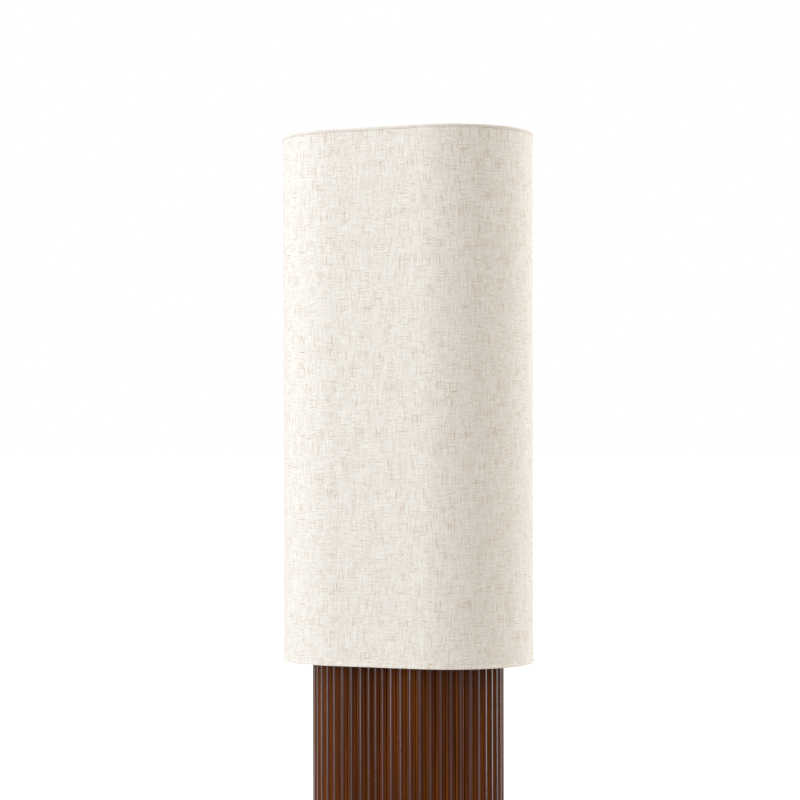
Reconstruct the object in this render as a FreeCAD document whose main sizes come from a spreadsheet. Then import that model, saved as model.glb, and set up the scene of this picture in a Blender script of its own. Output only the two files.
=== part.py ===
import FreeCAD, Part

# Column floor lamp: a reeded wooden column of oval plan with a tall linen shade over its top.
#
# Frame: millimetres, +Z up, origin on the floor under the middle of the column. X runs along the
# long way of the oval and -Y is the front. The oval is two half circles joined by straight runs.
#
# The column is two like half shells with a narrow strip closing the joint at the front and at the
# back, round three formers and two rails, on a steel base plate with a ballast block above it. A
# hollow rod carries the lamp holder, and a harp over the bulb carries the shade by its spider.
import math
import operator
import os

import Sketcher

SIZES = (
    ("lamp_height", 1500, "floor to the rim of the shade"),
    ("shade_height", 750, "bottom rim to top rim"),
    ("shade_half_flat", 66, "half the straight run of the shade's oval"),
    ("shade_end_radius", 118, "outside radius of the shade's round ends"),
    ("fabric_thick", 0.8, "linen skin"),
    ("liner_thick", 1, "stiff backing of the linen"),
    ("glue_gap", 0.1, "glue line between glued pieces"),
    ("hem_thick", 0.7, "linen turned over the rim"),
    ("hem_lip", 3, "depth of the turned edge inside the rim"),
    ("ring_wire_radius", 1.6, "wire of the shade's rings"),
    ("arm_wire_radius", 1.5, "wire of the spider's arms"),
    ("arm_bend_radius", 10, "bend of a spider arm up to the ring"),
    ("spider_drop", 25, "spider washer's underside below the rim"),
    ("washer_radius", 13, "spider washer"),
    ("washer_thick", 2, "spider washer"),
    ("column_half_flat", 41, "half the straight run of the column's oval"),
    ("column_end_radius", 99, "radius of the column's round ends over the reeds"),
    ("column_wall", 15, "reed crest to inner face"),
    ("column_in_shade", 25, "how far the column stands up inside the shade"),
    ("reed_depth", 3.6, "groove between two reeds, below the crests"),
    ("strip_reed_width", 10.5, "reeds of the two closing strips"),
    ("strip_shift", 8, "middle of a closing strip off the middle of its flat"),
    ("former_thick", 18, "formers inside the column"),
    ("middle_former_level", 390, "underside of the middle former"),
    ("former_gap", 0.3, "fit of a former in the shells"),
    ("rail_width", 60, "rails behind the closing strips"),
    ("rail_thick", 18, "rails behind the closing strips"),
    ("lid_thick", 12, "lid of the column"),
    ("lid_inset", 0.8, "lid's edge inside the reed crests"),
    ("lid_chamfer", 1.5, "lid's upper edge"),
    ("foot_height", 4, "rubber feet"),
    ("foot_radius", 11, "rubber feet"),
    ("foot_out", 54, "feet beyond the middles of the round ends"),
    ("foot_aside", 45, "feet off the long middle line"),
    ("base_thick", 8, "steel base plate"),
    ("base_inset", 10, "plate's edge inside the reed crests"),
    ("ballast_height", 50, "cast ballast block"),
    ("ballast_gap", 6, "ballast to the rails"),
    ("ballast_notch_width", 30, "notch in the ballast for the lead"),
    ("ballast_notch_depth", 20, "notch in the ballast for the lead"),
    ("bolt_radius", 4, "ballast bolts"),
    ("bolt_head_radius", 7.5, "ballast bolts"),
    ("bolt_bite", 28, "bolt inside the ballast"),
    ("bolt_out", 50, "bolts from the middle"),
    ("fixing_out", 20, "lid and base screws beyond the middles of the round ends"),
    ("fixing_aside", 50, "lid and base screws off the long middle line"),
    ("screw_radius", 2, "wood screws"),
    ("screw_head_radius", 4, "wood screws"),
    ("screw_length", 26, "wood screws"),
    ("short_screw_length", 20, "wood screws of the lid and of the terminal block"),
    ("screw_edge", 7, "shell screws from the joint they hold"),
    ("screw_margin", 60, "end screws from the ends of a rail"),
    ("drill_gap", 0.15, "clearance round screws and bolts"),
    ("gland_level", 55, "middle of the lead's gland above the floor"),
    ("gland_radius", 6.5, "body of the gland"),
    ("gland_bore_radius", 4, "bore of the gland"),
    ("gland_flange_radius", 9, "flange of the gland"),
    ("gland_flange_thick", 2.5, "flange of the gland"),
    ("terminal_width", 32, "terminal block"),
    ("terminal_depth", 18, "terminal block"),
    ("terminal_height", 20, "terminal block"),
    ("terminal_level", 190, "underside of the terminal block"),
    ("lead_radius", 2.4, "lead inside the lamp"),
    ("lead_bend_radius", 80, "bends of the lead below the rod"),
    ("lead_drop", 35, "straight lead below the rod's lower end"),
    ("rod_radius", 4.9, "hollow rod"),
    ("rod_bore_radius", 3.5, "hollow rod"),
    ("rod_tail", 12, "rod below the middle former"),
    ("rod_gap", 0.3, "clearance round the rod"),
    ("nut_radius", 9.8, "corners of the rod's nut"),
    ("nut_thick", 6, "rod's nut"),
    ("nut_washer_radius", 14, "washer under the middle former"),
    ("nut_washer_thick", 2, "washer under the middle former"),
    ("flange_radius", 25, "foot plate of the riser"),
    ("flange_thick", 4, "foot plate of the riser"),
    ("riser_radius", 8, "riser tube over the rod"),
    ("riser_wall", 1, "riser tube over the rod"),
    ("collar_radius", 10, "collar on the riser"),
    ("collar_thick", 4, "collar on the riser"),
    ("harp_height", 305, "saddle's underside to the spider washer"),
    ("harp_foot_out", 28, "feet of the harp from the middle"),
    ("harp_out", 63, "sides of the harp from the middle"),
    ("harp_foot_height", 45, "straight feet of the harp"),
    ("harp_shoulder_height", 95, "where the harp's sides turn straight"),
    ("harp_shoulder_radius", 40, "bends between feet and sides"),
    ("harp_wire_radius", 1.6, "wire of the harp"),
    ("seat_radius", 8, "seat on the harp's top"),
    ("seat_thick", 4, "seat on the harp's top"),
    ("stud_radius", 3.1, "stud that takes the finial"),
    ("stud_height", 13, "stud above its seat"),
    ("saddle_thick", 1.5, "saddle that takes the harp's feet"),
    ("saddle_width", 13, "saddle that takes the harp's feet"),
    ("ear_thick", 1.2, "upturned ears of the saddle"),
    ("ear_width", 4, "upturned ears of the saddle"),
    ("ear_height", 14, "upturned ears of the saddle"),
    ("slide_gap", 0.15, "between pieces that slide on each other"),
    ("ferrule_bore_radius", 3.2, "locking ferrules of the harp"),
    ("ferrule_radius", 4, "locking ferrules of the harp"),
    ("ferrule_length", 12, "locking ferrules of the harp"),
    ("cap_radius", 17.5, "lamp holder's cap"),
    ("cap_height", 22, "lamp holder's cap"),
    ("sheet_metal", 0.8, "wall of the lamp holder's cap and shell"),
    ("boss_radius", 8, "threaded boss of the cap"),
    ("boss_height", 8, "threaded boss of the cap"),
    ("shell_top", 60, "lamp holder's rim above the saddle"),
    ("shell_lap", 8, "shell inside the cap"),
    ("liner_wall", 0.8, "insulating sleeve in the lamp holder"),
    ("block_height", 21, "moulded inner block of the lamp holder"),
    ("block_level", 11, "underside of the block above the saddle"),
    ("thread_bore_radius", 13.4, "threaded sleeve of the lamp holder"),
    ("thread_wall", 0.5, "threaded sleeve of the lamp holder"),
    ("thread_height", 25, "threaded sleeve of the lamp holder"),
    ("contact_radius", 4, "centre contacts"),
    ("contact_thick", 2, "centre contacts"),
    ("spindle_radius", 2, "spindle of the switch"),
    ("spindle_level", 27, "spindle above the saddle"),
    ("spindle_depth", 8, "spindle's inner end from the lamp holder's axis"),
    ("knob_radius", 7, "knob of the switch"),
    ("knob_length", 13, "knob of the switch"),
    ("knob_off", 1.3, "knob from the shell"),
    ("knob_groove_radius", 0.9, "grip grooves of the knob"),
    ("bulb_cap_radius", 13.1, "screw cap of the bulb"),
    ("bulb_cap_height", 23.5, "screw cap of the bulb"),
    ("bulb_insulator_height", 2.5, "glass between cap and contact"),
    ("bulb_neck_radius", 13.5, "neck of the bulb's glass"),
    ("bulb_neck_height", 4, "straight neck of the bulb's glass"),
    ("bulb_radius", 30, "round of the bulb's glass"),
    ("bulb_shoulder_radius", 40, "hollow curve from neck to round"),
    ("bulb_wall", 0.8, "bulb's glass"),
    ("finial_foot_radius", 8, "foot of the finial"),
    ("finial_foot_height", 2.5, "foot of the finial"),
    ("finial_waist_radius", 4.8, "waist of the finial"),
    ("finial_waist_height", 3.5, "waist of the finial"),
    ("finial_ball_radius", 7, "ball of the finial"),
)
REEDS_PER_SHELL = 25
REEDS_PER_STRIP = 3
SCREW_ROWS = 4
KNOB_GROOVES = 12
TERMINALS = 3

document = FreeCAD.newDocument("column_floor_lamp")
sheet = document.addObject("Spreadsheet::Sheet", "Sizes")
parts = []

OPERATIONS = {"+": operator.add, "-": operator.sub, "*": operator.mul, "/": operator.truediv}


class Size:
    """A length of the lamp: its value, and the formula over the sheet's cells that gives it."""

    def __init__(self, value, formula):
        self.value = value
        self.formula = formula

    def joined(self, sign, other, swapped=False):
        """This size and another, or a plain number, joined by an arithmetic sign."""
        other = other if isinstance(other, Size) else Size(other, str(other))
        left, right = (other, self) if swapped else (self, other)
        value = OPERATIONS[sign](left.value, right.value)
        return Size(value, f"({left.formula} {sign} {right.formula})")

    def __add__(self, other):
        return self.joined("+", other)

    def __radd__(self, other):
        return self.joined("+", other, True)

    def __sub__(self, other):
        return self.joined("-", other)

    def __rsub__(self, other):
        return self.joined("-", other, True)

    def __mul__(self, other):
        return self.joined("*", other)

    def __rmul__(self, other):
        return self.joined("*", other, True)

    def __truediv__(self, other):
        return self.joined("/", other)

    def __neg__(self):
        return self.joined("-", 0, True)


class Cells:
    """The driving dimensions, each one named cell of the sheet."""

    def __init__(self, rows):
        for number, (name, value, note) in enumerate(rows, 1):
            sheet.set(f"A{number}", name)
            sheet.set(f"B{number}", str(value))
            sheet.setAlias(f"B{number}", name)
            sheet.set(f"C{number}", note)
            setattr(self, name, Size(value, f"Sizes.{name}"))


cell = Cells(SIZES)
document.recompute()


# --- Levels and radii that several pieces share ---------------------------------------------

shade_bottom = cell.lamp_height - cell.shade_height
column_top = shade_bottom + cell.column_in_shade
base_top = cell.foot_height + cell.base_thick
lid_bottom = column_top - cell.lid_thick
former_top = base_top + cell.former_thick
upper_former_level = lid_bottom - cell.former_thick
inner_radius = cell.column_end_radius - cell.column_wall
rail_face = inner_radius - cell.rail_thick
ballast_radius = rail_face - cell.ballast_gap
strip_half_width = cell.strip_reed_width * REEDS_PER_STRIP / 2
spider_level = cell.lamp_height - cell.spider_drop
saddle_level = spider_level - cell.harp_height
holder_level = saddle_level + cell.saddle_thick
flange_top = column_top + cell.flange_thick
collar_level = saddle_level - cell.collar_thick
rod_bottom = cell.middle_former_level - cell.nut_washer_thick - cell.nut_thick - cell.rod_tail
liner_radius = cell.shade_end_radius - cell.fabric_thick - cell.glue_gap
ring_face = liner_radius - cell.liner_thick - cell.glue_gap
ring_radius = ring_face - cell.ring_wire_radius
lip_radius = ring_radius - cell.ring_wire_radius - cell.glue_gap * 4


# --- Ways of making pieces --------------------------------------------------------------------


def bind(thing, name, size):
    """Gives a property its size, as a formula over the sheet where there is one."""
    if isinstance(size, Size):
        thing.setExpression(name, size.formula)
    elif size:
        thing.setExpression(name, str(size))


def keep(thing, label):
    """Marks an object as a finished piece of the lamp, with its name."""
    thing.Label = label
    parts.append(thing)
    return thing


def place(thing, x, y, z, rotation=FreeCAD.Rotation()):
    """Puts an object at a point that follows the sheet."""
    thing.Placement = FreeCAD.Placement(FreeCAD.Vector(), rotation)
    for letter, size in zip("xyz", (x, y, z)):
        bind(thing, f"Placement.Base.{letter}", size)
    return thing


def cylinder(radius, height, x=0, y=0, z=0, rotation=FreeCAD.Rotation()):
    """A cylinder that stands on a point, or lies along a turned axis from it."""
    thing = document.addObject("Part::Cylinder", "Cylinder")
    bind(thing, "Radius", radius)
    bind(thing, "Height", height)
    return place(thing, x, y, z, rotation)


def cone(radius_low, radius_high, height, z=0):
    """A cone on the lamp's axis."""
    thing = document.addObject("Part::Cone", "Cone")
    thing.Radius1 = 0
    thing.Radius2 = 0
    bind(thing, "Radius1", radius_low)
    bind(thing, "Radius2", radius_high)
    bind(thing, "Height", height)
    return place(thing, 0, 0, z)


def block(length, width, height, x, y, z):
    """A box by its lowest corner."""
    thing = document.addObject("Part::Box", "Block")
    bind(thing, "Length", length)
    bind(thing, "Width", width)
    bind(thing, "Height", height)
    return place(thing, x, y, z)


def ball(radius, z):
    """A ball on the lamp's axis."""
    thing = document.addObject("Part::Sphere", "Ball")
    bind(thing, "Radius", radius)
    return place(thing, 0, 0, z)


def joined(*things):
    """Several shapes as one solid."""
    thing = document.addObject("Part::MultiFuse", "Joined")
    thing.Shapes = list(things)
    thing.Refine = True
    return thing


def cut(base, tool):
    """A shape with another taken out of it."""
    thing = document.addObject("Part::Cut", "Cut")
    thing.Base = base
    thing.Tool = tool
    return thing


def shaped(shape):
    """A shape made here, as an object of the document."""
    thing = document.addObject("Part::Feature", "Shaped")
    thing.Shape = shape
    return thing


def tube(radius, bore, height, z):
    """A round tube on the lamp's axis."""
    return cut(cylinder(radius, height, z=z), cylinder(bore, height, z=z))


def new_sketch(body, level=0):
    """A sketch of a body on the floor plane, raised to a level."""
    sketch = body.newObject("Sketcher::SketchObject", "Sketch")
    floor = next(f for f in body.Origin.OriginFeatures if f.Role == "XY_Plane")
    sketch.AttachmentSupport = [(floor, "")]
    sketch.MapMode = "FlatFace"
    bind(sketch, "AttachmentOffset.Base.z", level)
    return sketch


def constrain(sketch, kind, *where, size):
    """A driving dimension of a sketch, tied to the sheet."""
    index = sketch.addConstraint(Sketcher.Constraint(kind, *where, size.value))
    sketch.setExpression(f"Constraints[{index}]", size.formula)


def add_oval(sketch, half_flat, radius):
    """An oval round the origin: two half circles joined by straight runs along X."""
    a, r = half_flat.value, radius.value
    up = FreeCAD.Vector(0, 0, 1)
    quarter = math.pi / 2
    first = sketch.GeometryCount
    right, top, left, low = range(first, first + 4)
    circles = [Part.Circle(FreeCAD.Vector(x, 0, 0), up, r) for x in (a, -a)]
    sketch.addGeometry(Part.ArcOfCircle(circles[0], -quarter, quarter))
    sketch.addGeometry(Part.LineSegment(FreeCAD.Vector(a, r, 0), FreeCAD.Vector(-a, r, 0)))
    sketch.addGeometry(Part.ArcOfCircle(circles[1], quarter, 3 * quarter))
    sketch.addGeometry(Part.LineSegment(FreeCAD.Vector(-a, -r, 0), FreeCAD.Vector(a, -r, 0)))
    for one, its_end, other, other_end in (
        (right, 2, top, 1),
        (top, 2, left, 1),
        (left, 2, low, 1),
        (low, 2, right, 1),
    ):
        sketch.addConstraint(Sketcher.Constraint("Coincident", one, its_end, other, other_end))
    for arc in (right, left):
        sketch.addConstraint(Sketcher.Constraint("PointOnObject", arc, 3, -1))
    for arc in (right, left):
        for end in (1, 2):
            sketch.addConstraint(Sketcher.Constraint("Vertical", arc, 3, arc, end))
    sketch.addConstraint(Sketcher.Constraint("Equal", right, left))
    constrain(sketch, "Radius", right, size=radius)
    constrain(sketch, "DistanceX", -1, 1, right, 3, size=half_flat)
    constrain(sketch, "DistanceX", left, 3, -1, 1, size=half_flat)


def pad(body, sketch, height):
    """A sketch raised by a height."""
    feature = body.newObject("PartDesign::Pad", "Pad")
    feature.Profile = sketch
    bind(feature, "Length", height)
    return feature


def oval_plate(level, height, half_flat, radius, hole_radius=None):
    """An oval plate, with a round hole in the middle if it has one."""
    body = document.addObject("PartDesign::Body", "Body")
    sketch = new_sketch(body, level)
    add_oval(sketch, half_flat, radius)
    if hole_radius is not None:
        circle = Part.Circle(FreeCAD.Vector(), FreeCAD.Vector(0, 0, 1), hole_radius.value)
        index = sketch.addGeometry(circle)
        sketch.addConstraint(Sketcher.Constraint("Coincident", index, 3, -1, 1))
        constrain(sketch, "Radius", index, size=hole_radius)
    pad(body, sketch, height)
    return body


def oval_wall(level, height, half_flat, radius, bore_radius, body=None):
    """An upright oval wall between two radii of the round ends."""
    body = body or document.addObject("PartDesign::Body", "Body")
    sketch = new_sketch(body, level)
    add_oval(sketch, half_flat, radius)
    add_oval(sketch, half_flat, bore_radius)
    pad(body, sketch, height)
    return body


def oval_path(half_flat, radius, level):
    """The centre line of a wire bent round an oval."""
    a, r, z = half_flat.value, radius.value, level.value
    corner = FreeCAD.Vector
    return Part.Wire(
        [
            Part.Arc(corner(a, -r, z), corner(a + r, 0, z), corner(a, r, z)).toShape(),
            Part.LineSegment(corner(a, r, z), corner(-a, r, z)).toShape(),
            Part.Arc(corner(-a, r, z), corner(-a - r, 0, z), corner(-a, -r, z)).toShape(),
            Part.LineSegment(corner(-a, -r, z), corner(a, -r, z)).toShape(),
        ]
    )


def bent_path(corners, radii):
    """Straight runs through corner points, with a tangent arc of the given radius at each."""
    edges = []
    start = corners[0]
    for before, point, after, radius in zip(corners, corners[1:], corners[2:], radii):
        back = (before - point).normalize()
        on = (after - point).normalize()
        half = back.getAngle(on) / 2
        reach = radius / math.tan(half)
        centre = point + (back + on).normalize() * (radius / math.sin(half))
        first = point + back * reach
        last = point + on * reach
        middle = centre + (point - centre).normalize() * radius
        if start.distanceToPoint(first) > 1e-6:
            edges.append(Part.LineSegment(start, first).toShape())
        edges.append(Part.Arc(first, middle, last).toShape())
        start = last
    edges.append(Part.LineSegment(start, corners[-1]).toShape())
    return Part.Wire(edges)


def wire_along(path, radius):
    """A round wire along a path."""
    start = path.Edges[0]
    at, way = start.valueAt(start.FirstParameter), start.tangentAt(start.FirstParameter)
    section = Part.Wire([Part.Circle(at, way, radius.value).toShape()])
    return path.makePipeShell([section], True, False)


def half_turned(shape):
    """A shape turned half round the lamp's axis, from the front to the back."""
    turned = shape.copy()
    turned.rotate(FreeCAD.Vector(), FreeCAD.Vector(0, 0, 1), 180)
    return turned


def screw(radius, head_radius, length, gap=0.0):
    """A countersunk screw on its head's face, its point towards +Z, or the hole it needs."""
    thin, wide = radius.value + gap, head_radius.value + gap
    sink = head_radius.value - radius.value
    tip = radius.value
    profile = [(0, -gap), (wide, -gap), (wide, 0), (thin, sink), (thin, length.value - tip)]
    profile += [(0, length.value + gap), (0, -gap)]
    face = Part.Face(Part.makePolygon([FreeCAD.Vector(r, 0, z) for r, z in profile]))
    return face.revolve(FreeCAD.Vector(), FreeCAD.Vector(0, 0, 1), 360)


def at_spots(shape, spots, way):
    """Copies of a shape that points along +Z, one at each spot, turned to point along a way."""
    turn = FreeCAD.Rotation(FreeCAD.Vector(0, 0, 1), FreeCAD.Vector(*way))
    copies = []
    for spot in spots:
        copy = shape.copy()
        copy.Placement = FreeCAD.Placement(FreeCAD.Vector(*spot), turn)
        copies.append(copy)
    return copies


ALONG = {
    "back": FreeCAD.Rotation(FreeCAD.Vector(1, 0, 0), -90),
    "front": FreeCAD.Rotation(FreeCAD.Vector(1, 0, 0), 90),
}
UP, DOWN, FRONT = (0, 0, 1), (0, 0, -1), (0, -1, 0)


# --- Where the screws go ------------------------------------------------------------------------


def four_corners(out, aside, level):
    """Four points beside the middles of the oval's round ends."""
    x, y, z = (cell.column_half_flat + out).value, aside.value, level.value
    return [(x * i, y * j, z) for i in (1, -1) for j in (1, -1)]


def rail_rows(count):
    """Levels of the rows of screws along a rail."""
    low = (former_top + cell.screw_margin).value
    high = (upper_former_level - cell.screw_margin).value
    return [low + (high - low) * (row + 0.5) / count for row in range(count)]


lid_spots = four_corners(cell.fixing_out, cell.fixing_aside, column_top)
base_spots = four_corners(cell.fixing_out, cell.fixing_aside, cell.foot_height)
bolt_spots = [(cell.bolt_out.value * side, 0, cell.foot_height.value) for side in (1, -1)]
edge_reach = (strip_half_width + cell.screw_edge).value
shell_spots = [
    (side * edge_reach - cell.strip_shift.value, -rail_face.value, level)
    for level in rail_rows(SCREW_ROWS)
    for side in (1, -1)
]
strip_spots = [
    (-cell.strip_shift.value, -rail_face.value, level) for level in rail_rows(SCREW_ROWS - 1)
]
gap = cell.drill_gap.value
wood_screw = screw(cell.screw_radius, cell.screw_head_radius, cell.screw_length)
wood_hole = screw(cell.screw_radius, cell.screw_head_radius, cell.screw_length, gap)
short_screw = screw(cell.screw_radius, cell.screw_head_radius, cell.short_screw_length)
short_hole = screw(cell.screw_radius, cell.screw_head_radius, cell.short_screw_length, gap)
bolt_length = cell.base_thick + cell.former_thick + cell.bolt_bite
bolt = screw(cell.bolt_radius, cell.bolt_head_radius, bolt_length)
bolt_hole = screw(cell.bolt_radius, cell.bolt_head_radius, bolt_length, gap)
lid_holes = at_spots(short_hole, lid_spots, DOWN)
base_holes = at_spots(short_hole, base_spots, UP)
bolt_holes = at_spots(bolt_hole, bolt_spots, UP)
front_holes = at_spots(wood_hole, shell_spots + strip_spots, FRONT)
back_holes = [half_turned(hole) for hole in front_holes]


def drilled(base, holes):
    """A piece with its screw holes."""
    return cut(base, shaped(Part.makeCompound(holes)))


# --- Column -------------------------------------------------------------------------------------


def on_oval(along, depth):
    """The point a length along the oval from the middle of its front flat, a depth inside it."""
    flat, radius = cell.column_half_flat.value, cell.column_end_radius.value
    reach = radius - depth
    if along <= flat:
        return FreeCAD.Vector(along, -reach, 0)
    if along >= flat + math.pi * radius:
        return FreeCAD.Vector(2 * flat + math.pi * radius - along, reach, 0)
    turn = (along - flat) / radius - math.pi / 2
    return FreeCAD.Vector(flat + reach * math.cos(turn), reach * math.sin(turn), 0)


def reeded_outline(start, end, count):
    """The reeds from one length along the oval to another: an arc each, from groove to groove."""
    depth = cell.reed_depth.value
    pitch = (end - start) / count
    arcs = []
    for reed in range(count):
        left = start + reed * pitch
        crest = on_oval(left + pitch / 2, 0)
        arcs.append(Part.Arc(on_oval(left, depth), crest, on_oval(left + pitch, depth)))
    return arcs


def reeded_piece(outline, inner, level, height):
    """A body padded from a run of reeds and the lines and arcs of its inner face."""
    body = document.addObject("PartDesign::Body", "Body")
    sketch = new_sketch(body, level)
    sketch.addGeometry(outline + inner)
    pad(body, sketch, height)
    return body


def make_half_shell():
    """The right half shell, from the front strip round the right end to the back strip."""
    flat, radius = cell.column_half_flat.value, cell.column_end_radius.value
    shift, half, inner = cell.strip_shift.value, strip_half_width.value, inner_radius.value
    front_edge = half - shift
    back_edge = half + shift
    end = 2 * flat + math.pi * radius - back_edge
    outline = reeded_outline(front_edge, end, REEDS_PER_SHELL)
    front_outer = on_oval(front_edge, cell.reed_depth.value)
    back_outer = on_oval(end, cell.reed_depth.value)
    front_inner = FreeCAD.Vector(front_edge, -inner, 0)
    back_inner = FreeCAD.Vector(back_edge, inner, 0)
    bend_front, bend_back = FreeCAD.Vector(flat, -inner, 0), FreeCAD.Vector(flat, inner, 0)
    inner_lines = [
        Part.LineSegment(back_outer, back_inner),
        Part.LineSegment(back_inner, bend_back),
        Part.Arc(bend_back, FreeCAD.Vector(flat + inner, 0, 0), bend_front),
        Part.LineSegment(bend_front, front_inner),
        Part.LineSegment(front_inner, front_outer),
    ]
    return reeded_piece(outline, inner_lines, base_top, lid_bottom - base_top)


def make_strip():
    """The front closing strip, with its own narrower reeds."""
    middle, half = -cell.strip_shift.value, strip_half_width.value
    depth, inner = cell.reed_depth.value, inner_radius.value
    outline = []
    for reed in range(REEDS_PER_STRIP):
        left = middle - half + reed * cell.strip_reed_width.value
        right = left + cell.strip_reed_width.value
        outer = -cell.column_end_radius.value
        groove = outer + depth
        crest = FreeCAD.Vector((left + right) / 2, outer, 0)
        ends = [FreeCAD.Vector(x, groove, 0) for x in (left, right)]
        outline.append(Part.Arc(ends[0], crest, ends[1]))
    corners = [
        FreeCAD.Vector(middle + half, -cell.column_end_radius.value + depth, 0),
        FreeCAD.Vector(middle + half, -inner, 0),
        FreeCAD.Vector(middle - half, -inner, 0),
        FreeCAD.Vector(middle - half, -cell.column_end_radius.value + depth, 0),
    ]
    sides = [Part.LineSegment(a, b) for a, b in zip(corners, corners[1:])]
    return reeded_piece(outline, sides, base_top, lid_bottom - base_top)


def make_rail():
    """The rail behind the front strip, from the bottom former to the top one."""
    length = upper_former_level - former_top
    left = -cell.strip_shift - cell.rail_width / 2
    return block(cell.rail_width, cell.rail_thick, length, left, -inner_radius, former_top)


def gland_hole():
    """The hole for the gland through the back strip and its rail."""
    radius = cell.gland_radius + cell.drill_gap
    return cylinder(
        radius, cell.column_end_radius, cell.strip_shift, 0, cell.gland_level, ALONG["back"]
    )


def make_column():
    document.recompute()
    shell, strip, rail = make_half_shell(), make_strip(), make_rail()
    document.recompute()
    keep(drilled(shell, front_holes + back_holes), "right_half_shell")
    left_shell = shaped(half_turned(shell.Shape))
    keep(drilled(left_shell, front_holes + back_holes), "left_half_shell")
    keep(drilled(strip, front_holes), "front_closing_strip")
    keep(drilled(rail, front_holes), "front_rail")
    back_strip = drilled(shaped(half_turned(strip.Shape)), back_holes)
    keep(cut(back_strip, gland_hole()), "back_closing_strip")
    back_rail = cut(shaped(half_turned(rail.Shape)), gland_hole())
    terminal_holes = at_spots(short_hole, terminal_spots(), (0, 1, 0))
    keep(drilled(back_rail, back_holes + terminal_holes), "back_rail")


def make_formers():
    radius = inner_radius - cell.former_gap
    flat, hole = cell.column_half_flat, cell.rod_radius + cell.rod_gap
    bottom = oval_plate(base_top, cell.former_thick, flat, radius)
    keep(drilled(bottom, base_holes + bolt_holes), "bottom_former")
    top = oval_plate(upper_former_level, cell.former_thick, flat, radius, hole)
    keep(drilled(top, lid_holes), "top_former")
    middle = oval_plate(cell.middle_former_level, cell.former_thick, flat, radius, hole)
    notch_width = cell.rail_width + cell.former_gap * 2
    notch_depth = cell.rail_thick + cell.former_gap
    front = block(
        notch_width,
        notch_depth,
        cell.former_thick,
        -cell.strip_shift - notch_width / 2,
        -inner_radius,
        cell.middle_former_level,
    )
    back = block(
        notch_width,
        notch_depth,
        cell.former_thick,
        cell.strip_shift - notch_width / 2,
        inner_radius - notch_depth,
        cell.middle_former_level,
    )
    keep(cut(cut(middle, front), back), "middle_former")


def make_lid():
    radius = cell.column_end_radius - cell.lid_inset
    body = oval_plate(
        lid_bottom, cell.lid_thick, cell.column_half_flat, radius, cell.rod_radius + cell.rod_gap
    )
    document.recompute()
    plate = body.Tip
    faces = plate.Shape.Faces
    upper = max(range(len(faces)), key=lambda number: faces[number].CenterOfMass.z)
    chamfer = body.newObject("PartDesign::Chamfer", "Chamfer")
    chamfer.Base = (plate, [f"Face{upper + 1}"])
    bind(chamfer, "Size", cell.lid_chamfer)
    keep(drilled(body, lid_holes), "column_lid")
    keep(shaped(Part.makeCompound(at_spots(short_screw, lid_spots, DOWN))), "lid_screws")


def make_base():
    radius = cell.column_end_radius - cell.base_inset
    plate = oval_plate(cell.foot_height, cell.base_thick, cell.column_half_flat, radius)
    keep(drilled(plate, base_holes + bolt_holes), "base_plate")
    pads = at_spots(
        Part.makeCylinder(cell.foot_radius.value, cell.foot_height.value),
        [(x, y, 0) for x, y, _ in four_corners(cell.foot_out, cell.foot_aside, base_top)],
        UP,
    )
    keep(shaped(Part.makeCompound(pads)), "rubber_feet")
    keep(shaped(Part.makeCompound(at_spots(short_screw, base_spots, UP))), "base_screws")
    keep(shaped(Part.makeCompound(at_spots(bolt, bolt_spots, UP))), "ballast_bolts")
    ballast = oval_plate(
        former_top, cell.ballast_height, cell.column_half_flat, ballast_radius
    )
    notch = block(
        cell.ballast_notch_width,
        cell.ballast_notch_depth,
        cell.ballast_height,
        cell.strip_shift - cell.ballast_notch_width / 2,
        ballast_radius - cell.ballast_notch_depth,
        former_top,
    )
    keep(drilled(cut(ballast, notch), bolt_holes), "ballast_block")


def make_shell_screws():
    front = at_spots(wood_screw, shell_spots, FRONT)
    back = [half_turned(one) for one in front]
    keep(shaped(Part.makeCompound(front + back)), "shell_screws")
    front = at_spots(wood_screw, strip_spots, FRONT)
    back = [half_turned(one) for one in front]
    keep(shaped(Part.makeCompound(front + back)), "strip_screws")


# --- Lead, gland and terminals ------------------------------------------------------------------


def terminal_spots():
    """Where the terminal block's two screws stand, on its front face."""
    reach = (cell.terminal_width / 2 - cell.screw_head_radius).value
    face = (rail_face - cell.terminal_depth).value
    level = (cell.terminal_level + cell.terminal_height / 2).value
    return [(side * reach, face, level) for side in (1, -1)]


def lead_radius_at_block():
    """How far the lead stands from the lamp's axis where it enters the terminal block."""
    return rail_face - cell.terminal_depth / 2


def make_gland():
    y = rail_face - cell.gland_flange_thick
    crest = cell.column_end_radius
    x, level, way = cell.strip_shift, cell.gland_level, ALONG["back"]
    total = crest + cell.gland_flange_thick - y
    body = cylinder(cell.gland_radius, total, x, y, level, way)
    flange = cylinder(cell.gland_flange_radius, cell.gland_flange_thick, x, crest, level, way)
    bore = cylinder(cell.gland_bore_radius, total, x, y, level, way)
    keep(cut(joined(body, flange), bore), "lead_gland")


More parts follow.
